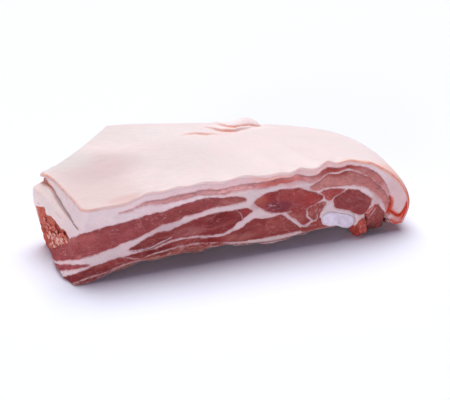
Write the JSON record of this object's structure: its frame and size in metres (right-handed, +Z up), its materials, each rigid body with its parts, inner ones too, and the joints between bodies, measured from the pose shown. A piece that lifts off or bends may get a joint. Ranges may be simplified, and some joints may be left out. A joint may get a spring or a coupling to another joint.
{
  "type": "pork belly slab",
  "caption": "Slab of raw pork belly lying rind side up, with a straight cut face, a slit squared end, a trimmed back corner and a curled thinner end.",
  "frame": {"origin": "centre of the slab's plan, on the surface it lies on", "axes": "+X along the slab from the squared end to the curled end, +Y from the cut front face to the back edge, +Z up from the table to the rind"},
  "size_m": [0.3052, 0.1618, 0.0655],
  "materials": {
    "meat": "raw pork: moist lean and fat in bands, pale pink rind on top",
    "cartilage": "smooth moist bluish white cartilage"
  },
  "bodies": {
    "root": {"slab": "meat", "rib_cartilage": "cartilage"}
  },
  "joints": []
}
